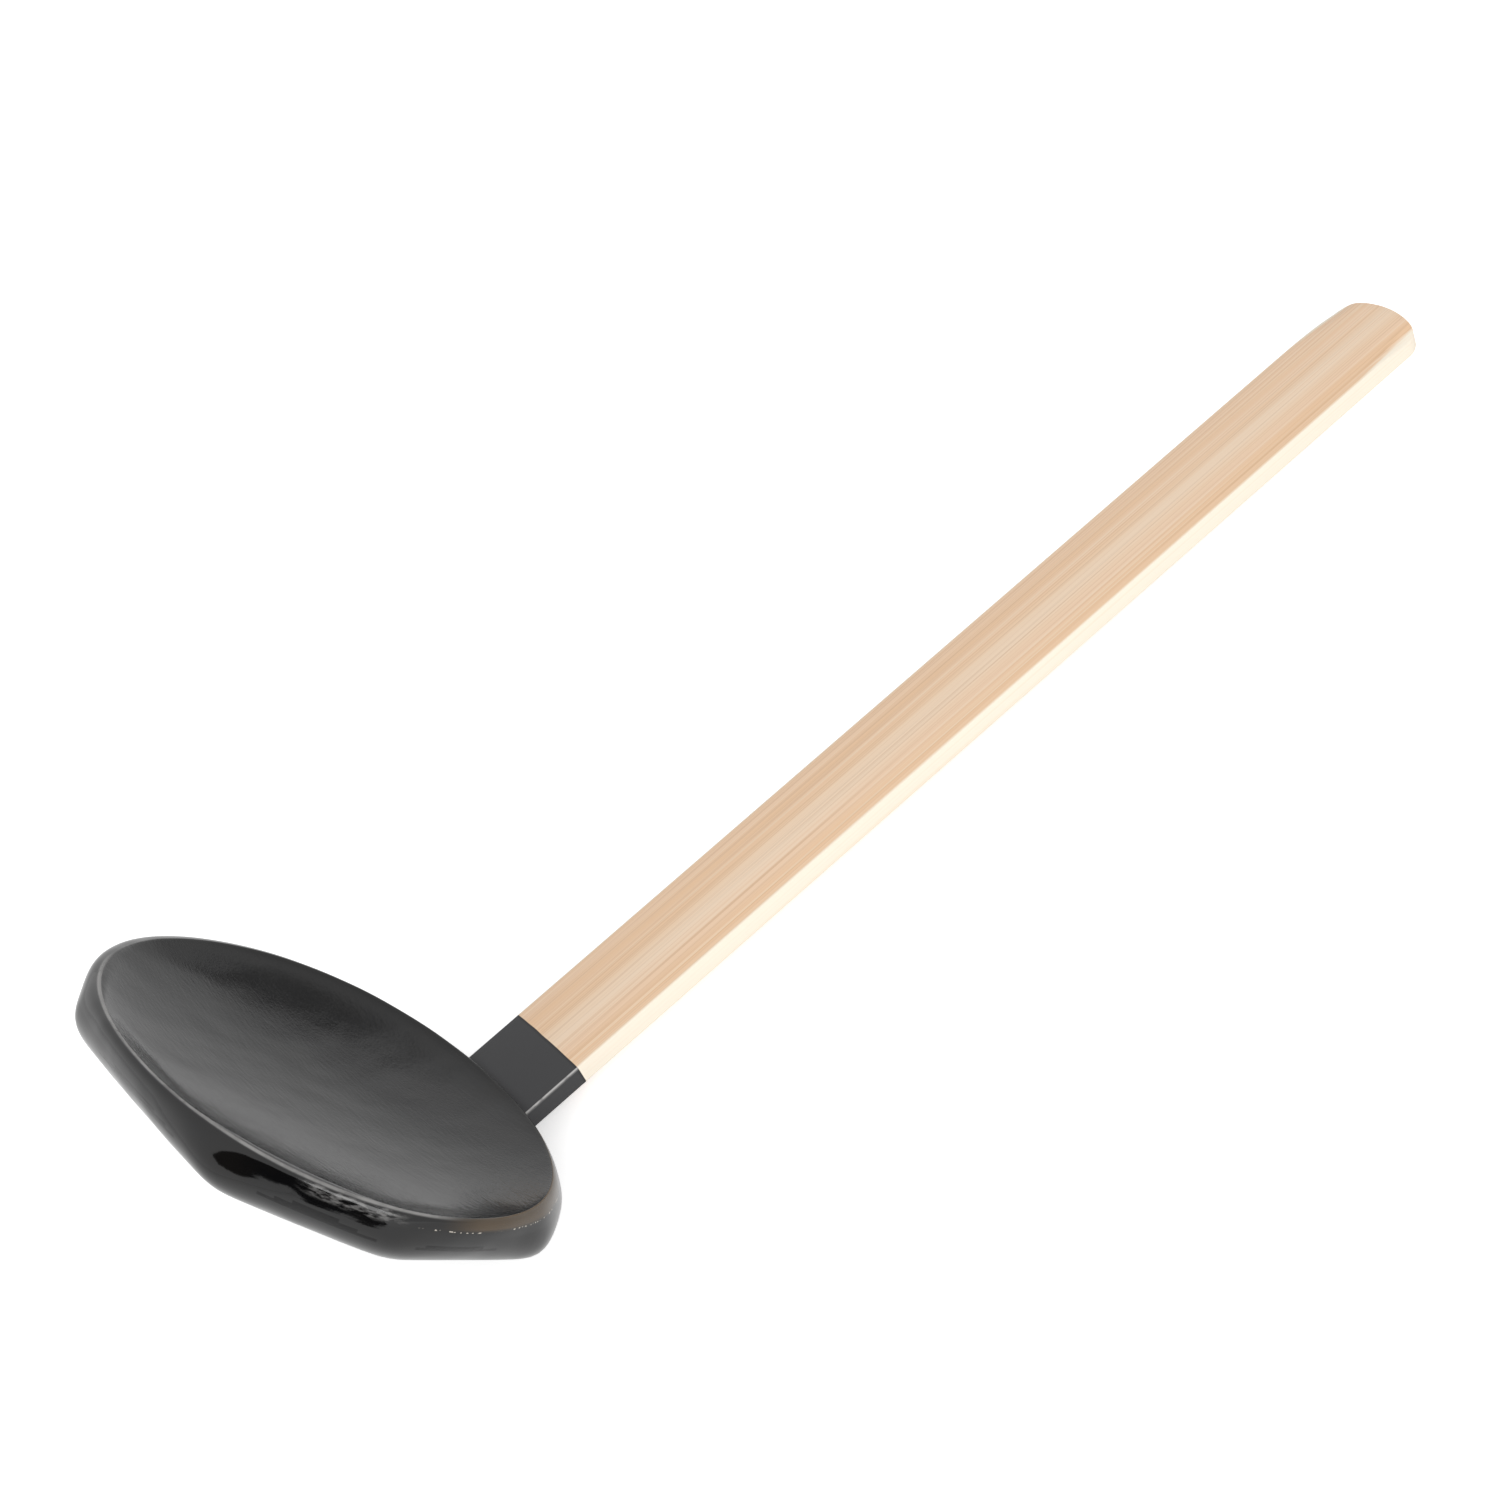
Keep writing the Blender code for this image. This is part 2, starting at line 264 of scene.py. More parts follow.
def makeBowl():
    spokes = bowlSet["spokes"]
    profiles = [spokeProfile(number * math.tau / spokes) for number in range(spokes)]
    deselectAll()
    bpy.ops.mesh.primitive_circle_add(vertices=spokes, fill_type="NOTHING")
    bowl = bpy.context.object
    bowl.name = "lacqueredBowl"
    startEdit(bowl)
    mesh = bmesh.from_edit_mesh(bowl.data)
    spokeOf = mesh.verts.layers.int.new("spoke")
    mesh.verts.ensure_lookup_table()
    for number, vert in enumerate(mesh.verts):
        vert[spokeOf] = number
        vert.co = profiles[number][0]
    bmesh.update_edit_mesh(bowl.data)
    # ring by ring outwards, over the rim and down
    for ring in range(1, len(profiles[0])):
        bpy.ops.mesh.extrude_edges_move()
        mesh = bmesh.from_edit_mesh(bowl.data)
        spokeOf = mesh.verts.layers.int["spoke"]
        for vert in mesh.verts:
            if vert.select:
                vert.co = profiles[vert[spokeOf]][ring]
        bmesh.update_edit_mesh(bowl.data)
    bpy.ops.mesh.fill_grid(span=spokes // 4)      # the foot's flat
    bpy.ops.mesh.select_all(action="DESELECT")
    bpy.ops.mesh.select_non_manifold()
    bpy.ops.mesh.fill_grid(span=spokes // 4)      # the middle of the dish
    mesh = bmesh.from_edit_mesh(bowl.data)
    for vert in mesh.verts:
        if vert.select and vert.co.z > -bowlSet["height"] / 2:
            vert.co.z = dishHeight(vert.co)
    bmesh.update_edit_mesh(bowl.data)
    bpy.ops.mesh.select_all(action="SELECT")
    bpy.ops.mesh.normals_make_consistent(inside=False)
    endEdit()
    gouge = bpy.data.textures.new("gougeMarks", "CLOUDS")
    gouge.noise_scale = bowlSet["carvingSize"]
    gouge.noise_depth = 1
    uneven = bowl.modifiers.new("uneven", "DISPLACE")
    uneven.texture = gouge
    uneven.texture_coords = "LOCAL"
    uneven.mid_level = 0.5
    uneven.strength = bowlSet["carvingHeight"]
    applyModifier(bowl, uneven)
    bakePlace(bowl, laid)
    return bowl


handleSet = {
    "width": 0.0181,
    "edge": 0.0038,            # thickness at the edges
    "crown": 0.0006,           # how much thicker it is along the middle
    "reach": 0.2125,           # from the bowl to the tip
    "rise": math.radians(51.6),
    "drop": 0.0023,            # below the rim where it leaves the bowl
    "tenon": 0.0155,
    "tipBow": 0.0022,
    "tipBowLength": 0.0104,    # the bow comes in over this length
    "tipCorner": 0.0026,
    "tipCornerSteps": 8,
    "tipSoft": 0.0013,         # the arrises are worn down towards the tip
    "tipSoftLength": 0.018,
    "tipSoftEdge": 6,          # high keeps the wear close to the edges
    "edgeRound": 0.0005,
    "edgeRoundSteps": 3,
    "edgeAngle": math.radians(40),       # edges sharper than this are rounded
    "fitGap": 0.00006,
    "columns": 18,
    "rows": 30,
    "tipRows": 9,
    "painted": 0.0121,         # length of the black end that shows
}
handlePlace = laid @ Matrix.Translation((0, bowlSet["rimDepth"] / 2, -handleSet["drop"]))
handlePlace = handlePlace @ Matrix.Rotation(handleSet["rise"], 4, "X")


def sliceAcross(start, end, count, normal):
    # cuts the mesh in edit into this many slices
    for number in range(1, count):
        spot = Vector(normal) * (start + (end - start) * number / count)
        bpy.ops.mesh.select_all(action="SELECT")
        bpy.ops.mesh.bisect(plane_co=spot, plane_no=normal)


def makeSlat(name, grow=0.0):
    # the handle with its tenon, larger all round where it cuts the mortise
    half = handleSet["width"] / 2 + grow
    start = -handleSet["tenon"] - grow
    end = handleSet["reach"] + grow
    top = grow
    bottom = -handleSet["edge"] - grow
    deselectAll()
    bpy.ops.mesh.primitive_cube_add(size=1)
    slat = bpy.context.object
    slat.name = name
    startEdit(slat, "EDGE")
    bpy.ops.transform.resize(value=(2 * half, end - start, top - bottom))
    bpy.ops.transform.translate(value=(0, (start + end) / 2, (top + bottom) / 2))
    # round the two upright corners of the tip
    bpy.ops.mesh.select_all(action="DESELECT")
    mesh = bmesh.from_edit_mesh(slat.data)
    for edge in mesh.edges:
        a, b = edge.verts
        upright = abs(a.co.z - b.co.z) > (top - bottom) / 2
        edge.select_set(upright and a.co.y > handleSet["reach"] / 2)
    bmesh.update_edit_mesh(slat.data)
    bpy.ops.mesh.bevel(offset=handleSet["tipCorner"], segments=handleSet["tipCornerSteps"],
                       affect="EDGES")
    sliceAcross(-half, half, handleSet["columns"], (1, 0, 0))
    sliceAcross(start, end, handleSet["rows"], (0, 1, 0))
    tipStart = end - handleSet["tipSoftLength"]
    bowStart = end - handleSet["tipBowLength"]
    bowEnd = end - handleSet["tipCorner"]
    sliceAcross(tipStart, end, handleSet["tipRows"], (0, 1, 0))
    mesh = bmesh.from_edit_mesh(slat.data)
    for vert in mesh.verts:
        off = vert.co.x / half
        towardsTip = max(0.0, (vert.co.y - tipStart) / handleSet["tipSoftLength"])
        if vert.co.z > (top + bottom) / 2:
            vert.co.z += handleSet["crown"] * (1 - off ** 2)
            vert.co.z -= handleSet["tipSoft"] * towardsTip ** 2 * off ** handleSet["tipSoftEdge"]
        bowed = min(1.0, max(0.0, (vert.co.y - bowStart) / (bowEnd - bowStart)))
        vert.co.y -= handleSet["tipBow"] * off ** 2 * bowed
    bmesh.update_edit_mesh(slat.data)
    bpy.ops.mesh.select_all(action="SELECT")
    bpy.ops.mesh.normals_make_consistent(inside=False)
    endEdit()
    return slat


def makeHandle():
    handle = makeSlat("bambooHandle")
    soften = handle.modifiers.new("softEdges", "BEVEL")
    soften.width = handleSet["edgeRound"]
    soften.segments = handleSet["edgeRoundSteps"]
    soften.limit_method = "ANGLE"
    soften.angle_limit = handleSet["edgeAngle"]
    applyModifier(handle, soften)
    bakePlace(handle, handlePlace)
    return handle


pegSet = {
    "diameter": 0.0024,
    "fromTenonEnd": 0.0035,
    "bite": 0.0027,            # how far it goes on above the handle
    "holeGap": 0.00008,
    "holeSides": 48,
    "poreScale": (5200, 5200, 160),
    "poreRange": (0.4, 0.7),
    "roughness": 0.45,
    "poreRoughness": 0.2,      # added where the pores are
    "poreDepth": 0.00005,
    "poreStrength": 0.4,
}


def makePegHole():
    # from below the bowl up through the handle
    low = -bowlSet["height"]
    high = handleSet["crown"] + pegSet["bite"] + pegSet["holeGap"]
    deselectAll()
    bpy.ops.mesh.primitive_cylinder_add(vertices=pegSet["holeSides"], depth=high - low,
                                        radius=pegSet["diameter"] / 2 + pegSet["holeGap"])
    hole = bpy.context.object
    along = pegSet["fromTenonEnd"] - handleSet["tenon"]
    bakePlace(hole, handlePlace @ Matrix.Translation((0, along, (low + high) / 2)))
    return hole


bowl = makeBowl()
print("bowl lofted:", len(bowl.data.polygons), "faces")
handle = makeHandle()
print("handle split:", len(handle.data.polygons), "faces")
mortise = makeSlat("mortise", handleSet["fitGap"])
bakePlace(mortise, handlePlace)
cutWith(bowl, mortise)
cutWith(bowl, makePegHole())
cutWith(handle, makePegHole())
for piece in (bowl, handle):
    pick(piece)
    bpy.ops.object.shade_smooth_by_angle(angle=bowlSet["smoothAngle"])
print("mortise and peg hole cut")


# materials
def newMaterial(name):
    material = bpy.data.materials.new(name)
    material.use_nodes = True
    tree = material.node_tree
    return material, tree, tree.nodes["Principled BSDF"]


def addNode(tree, kind, **settings):
    node = tree.nodes.new(kind)
    for key, value in settings.items():
        setattr(node, key, value)
    return node


def mathNode(tree, operation, first, second=None, third=None):
    # each value is a number or another node's output
    node = addNode(tree, "ShaderNodeMath", operation=operation)
    for slot, value in enumerate((first, second, third)):
        if value is None:
            continue
        if isinstance(value, (int, float)):
            node.inputs[slot].default_value = value
        else:
            tree.links.new(value, node.inputs[slot])
    return node.outputs[0]


def product(tree, *values):
    result = values[0]
    for value in values[1:]:
        result = mathNode(tree, "MULTIPLY", result, value)
    return result


def localCoords(tree, place):
    # the piece's own axes, from where it lies
    where = addNode(tree, "ShaderNodeTexCoord")
    mapping = addNode(tree, "ShaderNodeMapping", vector_type="TEXTURE")
    mapping.inputs["Location"].default_value = place.to_translation()
    mapping.inputs["Rotation"].default_value = place.to_euler()
    tree.links.new(where.outputs["Object"], mapping.inputs["Vector"])
    split = addNode(tree, "ShaderNodeSeparateXYZ")
    tree.links.new(mapping.outputs["Vector"], split.inputs[0])
    return mapping.outputs["Vector"], split.outputs


def stretched(tree, vector, scale):
    node = addNode(tree, "ShaderNodeMapping")
    node.inputs["Scale"].default_value = scale
    tree.links.new(vector, node.inputs["Vector"])
    return node.outputs["Vector"]


def noise(tree, vector, scale, detail, roughness=0.55):
    node = addNode(tree, "ShaderNodeTexNoise")
    node.inputs["Scale"].default_value = scale
    node.inputs["Detail"].default_value = detail
    node.inputs["Roughness"].default_value = roughness
    tree.links.new(vector, node.inputs["Vector"])
    return node.outputs["Fac"]


def smoothRange(tree, value, low, high, toLow=0.0, toHigh=1.0):
    # a soft step from one level at low to the other at high
    node = addNode(tree, "ShaderNodeMapRange", interpolation_type="SMOOTHSTEP")
    node.inputs["From Min"].default_value = low
    node.inputs["From Max"].default_value = high
    node.inputs["To Min"].default_value = toLow
    node.inputs["To Max"].default_value = toHigh
    tree.links.new(value, node.inputs["Value"])
    return node.outputs["Result"]


def mixColours(tree, share, first, second):
    node = addNode(tree, "ShaderNodeMix", data_type="RGBA")
    tree.links.new(share, node.inputs["Factor"])
    # slots 6 and 7 are the node's colours, and output 2 is the mixed one
    for slot, value in ((6, first), (7, second)):
        if isinstance(value, tuple):
            node.inputs[slot].default_value = value
        else:
            tree.links.new(value, node.inputs[slot])
    return node.outputs[2]


def bump(tree, height, distance, strength, normal=None):
    node = addNode(tree, "ShaderNodeBump")
    node.inputs["Strength"].default_value = strength
    node.inputs["Distance"].default_value = distance
    tree.links.new(height, node.inputs["Height"])
    if normal is not None:
        tree.links.new(normal, node.inputs["Normal"])
    return node.outputs["Normal"]


lacquerSet = {
    "black": (0.0030, 0.0030, 0.0033, 1.0),
    "thin": (0.0055, 0.0050, 0.0047, 1.0),    # where the coat lets some wood through
    "wornAndGlint": (0.25, 0.245, 0.24, 1.0),       # worn edges, and the painted highlight and sheen on the rim
    "paleSpeck": (0.50, 0.46, 0.40, 1.0),          # the pale dots low on the rim
    "brown": (0.075, 0.048, 0.023, 1.0),      # painted reflection of the bamboo handle in the rim
    # strength of the brush marks and height of the waves, for each coat
    "wallCoat": {"ior": 1.5, "roughness": 0.05, "marks": 0.12, "wave": 0.00026},
    # rubbed down, so less shiny than the outside
    "dishCoat": {"ior": 1.36, "roughness": 0.08, "marks": 0.9, "wave": 0.00015},
    "waveScale": 105,
    "cloudScale": 90,                         # patches of thinner coat
    "cloudRange": (0.45, 0.75),
    "cloudRoughness": 0.05,
    "brushScale": (380, 1700, 1700),          # brush marks run across the bowl
    "brushShare": 0.6,
    "grainScale": 2600,
    "grainShare": 0.4,
    "markDepth": 0.00006,
    "lipLine": 0.0004,                        # half the width of the line on the lip
    "lipCore": 0.3,                           # the share of it at full strength
    "lipFade": (-0.0016, -0.0006),            # heights between which it fades in
    "lipBreakScale": 240,
    "lipBreaks": (0.25, 0.6, 0.5, 1.0),
    "wearGlintTurn": 0.231,                        # turns the stretch of wear and painted highlight from the front to the right
    "wearGlintRange": (0.0105, 0.0185, 0.06, 1.0),
    "wearSheenRoughness": 0.3,
    "brownAcross": (0.024, 0.036),            # the painted reflection of the bamboo, at the rim's right end
    "brownAlong": (-0.006, 0.003),
    "brownHeights": (-0.0017, -0.0010),
    "brownShare": 0.8,
    "speckHeight": -0.0015,                    # a dotted line of pale dots low on the rim's right end
    "speckLine": 0.00016,
    "speckWander": 0.0006,
    "speckWanderScale": 120,
    "speckScale": 2000,
    "speckRange": (0.56, 0.62),
    "specksAcross": (0.030, 0.035),
    "specksAlong": (-0.0095, -0.0055),
    "sheenSpot": (0.0388, -0.0165, -0.0010),      # a painted sheen on the rim's outer edge
    "sheenReach": 0.0090,
    "sheenCore": 0.5,
    "sheenFrom": (-0.0022, -0.0012),          # heights between which it fades in and out
    "sheenTo": (0.0003, -0.0001),
    "sheenShare": 0.5,
    "sheenWay": (0.577, 0.817),                 # the streaks of the painted sheen run along the rim
    "sheenStreaksAlong": 420,
    "sheenStreaksUp": 1500,
    "sheenStreakRange": (0.42, 0.66),
}


def lipLine(tree, x, y, z):
    # 1 along the lip of the dish, fading out to both sides
    full = bowlSet["rimFullness"]
    fromMiddle = mathNode(tree, "ABSOLUTE", mathNode(tree, "SUBTRACT", x, bowlSet["dishShift"]))
    across = mathNode(tree, "POWER", mathNode(tree, "DIVIDE", fromMiddle, lipHalves[0]), full)
    along = mathNode(tree, "DIVIDE", mathNode(tree, "ABSOLUTE", y), lipHalves[1])
    total = mathNode(tree, "ADD", across, mathNode(tree, "POWER", along, full))
    share = mathNode(tree, "POWER", total, 1 / full)
    off = mathNode(tree, "ABSOLUTE", mathNode(tree, "SUBTRACT", share, 1.0))
    half = lacquerSet["lipLine"] / lipHalves[1]
    line = smoothRange(tree, off, half, lacquerSet["lipCore"] * half)
    return product(tree, line, smoothRange(tree, z, *lacquerSet["lipFade"]))


def rimSpecks(tree, vector, x, y, z):
    # small pale dots along one height of the rim
    spread = lacquerSet["speckWander"]
    waves = noise(tree, vector, lacquerSet["speckWanderScale"], detail=1)
    wander = mathNode(tree, "MULTIPLY_ADD", waves, spread, -spread / 2)
    height = mathNode(tree, "SUBTRACT", mathNode(tree, "ADD", z, wander), lacquerSet["speckHeight"])
    line = smoothRange(tree, mathNode(tree, "ABSOLUTE", height), lacquerSet["speckLine"], 0.0)
    dots = noise(tree, vector, lacquerSet["speckScale"], detail=0)
    dots = smoothRange(tree, dots, *lacquerSet["speckRange"])
    along = smoothRange(tree, y, *lacquerSet["specksAlong"])
    across = smoothRange(tree, x, *lacquerSet["specksAcross"])
    return product(tree, line, dots, along, across)


def rimSheen(tree, vector, x, y, z):
    # a painted sheen, a streaked pale patch across the rim's outer edge
    far = addNode(tree, "ShaderNodeVectorMath", operation="DISTANCE")
    tree.links.new(vector, far.inputs[0])
    far.inputs[1].default_value = lacquerSet["sheenSpot"]
    reach = lacquerSet["sheenReach"]
    near = smoothRange(tree, far.outputs["Value"], reach, lacquerSet["sheenCore"] * reach)
    above = smoothRange(tree, z, *lacquerSet["sheenFrom"])
    below = smoothRange(tree, z, *lacquerSet["sheenTo"])
    wayAcross, wayAlong = lacquerSet["sheenWay"]
    along = mathNode(tree, "MULTIPLY_ADD", x, wayAcross, mathNode(tree, "MULTIPLY", y, wayAlong))
    grid = addNode(tree, "ShaderNodeCombineXYZ")
    tree.links.new(mathNode(tree, "MULTIPLY", along, lacquerSet["sheenStreaksAlong"]), grid.inputs[0])
    tree.links.new(mathNode(tree, "MULTIPLY", z, lacquerSet["sheenStreaksUp"]), grid.inputs[1])
    sheenStreaks = noise(tree, grid.outputs[0], 1.0, detail=3, roughness=0.6)
    sheenStreaks = smoothRange(tree, sheenStreaks, *lacquerSet["sheenStreakRange"])
    return product(tree, near, above, below, sheenStreaks, lacquerSet["sheenShare"])


def makeLacquer(name, coat, rimMarks):
    material, tree, shader = newMaterial(name)
    vector, (x, y, z) = localCoords(tree, laid)
    cloudy = noise(tree, vector, lacquerSet["cloudScale"], detail=3)
    streaks = noise(tree, stretched(tree, vector, lacquerSet["brushScale"]), 1.0, detail=4, roughness=0.6)
    grain = noise(tree, vector, lacquerSet["grainScale"], detail=3, roughness=0.6)
    thinCoat = smoothRange(tree, cloudy, *lacquerSet["cloudRange"])
    colour = mixColours(tree, thinCoat, lacquerSet["black"], lacquerSet["thin"])
    # the line on the lip, partly worn lacquer and partly a painted highlight, broken up and strongest in
    # front
    breaks = noise(tree, vector, lacquerSet["lipBreakScale"], detail=3)
    breaks = smoothRange(tree, breaks, *lacquerSet["lipBreaks"])
    front = mathNode(tree, "SUBTRACT", mathNode(tree, "MULTIPLY", x, lacquerSet["wearGlintTurn"]), y)
    inFront = smoothRange(tree, front, *lacquerSet["wearGlintRange"])
    wearAndSheen = product(tree, lipLine(tree, x, y, z), breaks, inFront)
    if rimMarks:
        # a painted sheen on the rim's outer edge joins the line on the lip
        wearAndSheen = mathNode(tree, "MAXIMUM", wearAndSheen, rimSheen(tree, vector, x, y, z))
    colour = mixColours(tree, wearAndSheen, colour, lacquerSet["wornAndGlint"])
    if rimMarks:
        # the brown of the bamboo handle reflected in the rim's right end, painted on
        across = smoothRange(tree, x, *lacquerSet["brownAcross"])
        along = smoothRange(tree, y, *lacquerSet["brownAlong"])
        high = smoothRange(tree, z, *lacquerSet["brownHeights"])
        bambooReflection = product(tree, across, high, along, lacquerSet["brownShare"])
        colour = mixColours(tree, bambooReflection, colour, lacquerSet["brown"])
        specks = rimSpecks(tree, vector, x, y, z)
        colour = mixColours(tree, specks, colour, lacquerSet["paleSpeck"])
        wearAndSheen = mathNode(tree, "MAXIMUM", wearAndSheen, specks)
    tree.links.new(colour, shader.inputs["Base Color"])
    rough = mathNode(tree, "MULTIPLY_ADD", cloudy, lacquerSet["cloudRoughness"], coat["roughness"])
    rough = mathNode(tree, "MULTIPLY_ADD", wearAndSheen, lacquerSet["wearSheenRoughness"], rough)
    tree.links.new(rough, shader.inputs["Roughness"])
    grain = mathNode(tree, "MULTIPLY", grain, lacquerSet["grainShare"])
    marks = mathNode(tree, "MULTIPLY_ADD", streaks, lacquerSet["brushShare"], grain)
    waves = bump(tree, noise(tree, vector, lacquerSet["waveScale"], detail=1), coat["wave"], 1.0)
    uneven = bump(tree, marks, lacquerSet["markDepth"], coat["marks"], waves)
    tree.links.new(uneven, shader.inputs["Normal"])
    shader.inputs["IOR"].default_value = coat["ior"]
    return material


bambooSet = {
    "tan": (0.800, 0.540, 0.335, 1.0),
    "pale": (0.855, 0.690, 0.530, 1.0),        # the silvery band along the middle
    "pink": (0.825, 0.595, 0.415, 1.0),
    "dark": (0.600, 0.370, 0.205, 1.0),        # single dark fibres
    "litCutEdge": (0.880, 0.800, 0.670, 1.0),     # the sawn sides, paler for their own flesh and with painted light
    "paint": (0.032, 0.032, 0.034, 1.0),
    "paintEdge": (0.012, 0.012, 0.013, 1.0),
    # rubbed paint on the top arris of the painted end, with a painted highlight
    "arrisWearGlint": (0.42, 0.41, 0.40, 1.0),
    "hairScale": (4200, 9, 4200),              # long straight fibres, fine ones over broad ones
    "fibreScale": (2000, 6, 2000),
    "broadScale": (330, 1.5, 330),
    "broadRange": (0.35, 0.65),
    "bandMiddle": 0.0012,
    "bandWidth": 0.0042,
    "bandFibres": (0.25, 0.65, 0.35, 1.0),
    "lightFibres": (0.48, 0.34),
    "lightShare": 0.6,
    "darkHairs": (0.50, 0.70),
    "darkHairShare": 0.45,
    "darkFibres": (0.56, 0.68),
    "darkFibreShare": 0.30,
    "sideRagged": 0.0006,                      # how far the fibres fray the line to the sawn side
    "sideSoft": 0.0003,
    "tipWear": 0.0012,                         # and how far that line comes in at the tip
    "sawnFibres": (0.5, 0.75),
    "sawnShare": 0.25,
    "paintWander": 0.0004,                     # unevenness of the paint's end
    "paintWanderScale": 160,
    "paintSoft": 0.00012,
    "borderFrom": 0.0005,                      # the darker border, from the paint's end
    "borderTo": 0.0001,
    "borderShare": 0.8,
    "arrisInset": 0.00012,
    "arrisLine": (0.00016, 0.00004),
    "arrisHeights": (-0.0006, -0.0003),
    "arrisBreakScale": 500,
    "arrisBreaks": (0.3, 0.5, 0.4, 1.0),
    "paintRoughness": 0.6,
    "bambooRoughness": 0.5,
    "speckleScale": 3000,                      # fine grain of the matt paint
    "speckleShare": 0.6,
    "grainDepth": 0.00006,
    "grainStrength": 0.4,
}


def makeBamboo():
    material, tree, shader = newMaterial("splitBamboo")
    vector, (x, y, z) = localCoords(tree, handlePlace)
    half = handleSet["width"] / 2
    hair = noise(tree, stretched(tree, vector, bambooSet["hairScale"]), 1.0, detail=2, roughness=0.6)
    fibre = noise(tree, stretched(tree, vector, bambooSet["fibreScale"]), 1.0, detail=2, roughness=0.5)
    broad = noise(tree, stretched(tree, vector, bambooSet["broadScale"]), 1.0, detail=2, roughness=0.5)
    pinkish = smoothRange(tree, broad, *bambooSet["broadRange"])
    colour = mixColours(tree, pinkish, bambooSet["tan"], bambooSet["pink"])
    fromBand = mathNode(tree, "ABSOLUTE", mathNode(tree, "SUBTRACT", x, bambooSet["bandMiddle"]))
    band = smoothRange(tree, fromBand, bambooSet["bandWidth"], 0.0)
    band = product(tree, band, smoothRange(tree, fibre, *bambooSet["bandFibres"]))
    colour = mixColours(tree, band, colour, bambooSet["pale"])
    light = product(tree, smoothRange(tree, fibre, *bambooSet["lightFibres"]), bambooSet["lightShare"])
    colour = mixColours(tree, light, colour, bambooSet["pale"])
    lines = product(tree, smoothRange(tree, hair, *bambooSet["darkHairs"]), bambooSet["darkHairShare"])
    colour = mixColours(tree, lines, colour, bambooSet["dark"])
    streak = product(tree, smoothRange(tree, fibre, *bambooSet["darkFibres"]), bambooSet["darkFibreShare"])
    colour = mixColours(tree, streak, colour, bambooSet["dark"])
    # the sawn sides, paler partly for the bamboo's own flesh and partly as painted light, as if a lamp lit
    # them more than the top
    fromMiddle = mathNode(tree, "ABSOLUTE", x)
    ragged = mathNode(tree, "MULTIPLY_ADD", hair, bambooSet["sideRagged"], fromMiddle)
    tipStart = handleSet["reach"] - handleSet["tipSoftLength"]
    towardsTip = smoothRange(tree, y, tipStart, handleSet["reach"], 0.0, bambooSet["tipWear"])
    ragged = mathNode(tree, "ADD", ragged, towardsTip)
    side = smoothRange(tree, ragged, half - bambooSet["sideSoft"], half + bambooSet["sideSoft"])
    sawn = product(tree, smoothRange(tree, fibre, *bambooSet["sawnFibres"]), bambooSet["sawnShare"])
    litSawnColour = mixColours(tree, sawn, bambooSet["litCutEdge"], bambooSet["pink"])
    colour = mixColours(tree, side, colour, litSawnColour)
    # the painted end, its darker border, and its pale arris, rubbed paint with a painted highlight
    wander = noise(tree, vector, bambooSet["paintWanderScale"], detail=1)
    along = mathNode(tree, "MULTIPLY_ADD", wander, bambooSet["paintWander"], y)
    end = handleSet["painted"] + bambooSet["paintWander"] / 2
    painted = smoothRange(tree, along, end + bambooSet["paintSoft"], end)
    border = smoothRange(tree, along, end - bambooSet["borderFrom"], end - bambooSet["borderTo"])
    border = product(tree, border, bambooSet["borderShare"])
    paint = mixColours(tree, border, bambooSet["paint"], bambooSet["paintEdge"])
    offArris = mathNode(tree, "SUBTRACT", fromMiddle, half - bambooSet["arrisInset"])
    arris = smoothRange(tree, mathNode(tree, "ABSOLUTE", offArris), *bambooSet["arrisLine"])
    onTop = smoothRange(tree, z, *bambooSet["arrisHeights"])
    breaks = noise(tree, vector, bambooSet["arrisBreakScale"], detail=2)
    arris = product(tree, arris, onTop, smoothRange(tree, breaks, *bambooSet["arrisBreaks"]))
    paint = mixColours(tree, arris, paint, bambooSet["arrisWearGlint"])
    tree.links.new(mixColours(tree, painted, colour, paint), shader.inputs["Base Color"])
    rougher = bambooSet["paintRoughness"] - bambooSet["bambooRoughness"]
    rough = mathNode(tree, "MULTIPLY_ADD", painted, rougher, bambooSet["bambooRoughness"])
    tree.links.new(rough, shader.inputs["Roughness"])
    speckle = product(tree, noise(tree, vector, bambooSet["speckleScale"], detail=2), painted)
    relief = product(tree, hair, mathNode(tree, "SUBTRACT", 1.0, painted))
    relief = mathNode(tree, "MULTIPLY_ADD", speckle, bambooSet["speckleShare"], relief)
    grain = bump(tree, relief, bambooSet["grainDepth"], bambooSet["grainStrength"])
    tree.links.new(grain, shader.inputs["Normal"])
    return material


def makePegWood():
    material, tree, shader = newMaterial("pegEndGrain")
    vector = localCoords(tree, handlePlace)[0]
    pores = noise(tree, stretched(tree, vector, pegSet["poreScale"]), 1.0, detail=3, roughness=0.6)
    inPores = smoothRange(tree, pores, *pegSet["poreRange"])
    colour = mixColours(tree, inPores, bambooSet["pink"], bambooSet["dark"])
    tree.links.new(colour, shader.inputs["Base Color"])
    rough = mathNode(tree, "MULTIPLY_ADD", pores, pegSet["poreRoughness"], pegSet["roughness"])
    tree.links.new(rough, shader.inputs["Roughness"])
    relief = bump(tree, pores, pegSet["poreDepth"], pegSet["poreStrength"])
    tree.links.new(relief, shader.inputs["Normal"])
    return material


def dress(piece, material):
    piece.data.materials.clear()
    piece.data.materials.append(material)


def paintDish(bowl):
    # the second lacquer goes on every face of the hollow
    back = laid.inverted()
    for face in bowl.data.polygons:
        middle = back @ face.center
        inDish = dishShare(middle) < 1 and middle.z > -bowlSet["dishDepth"]
        face.material_index = 1 if inDish else 0


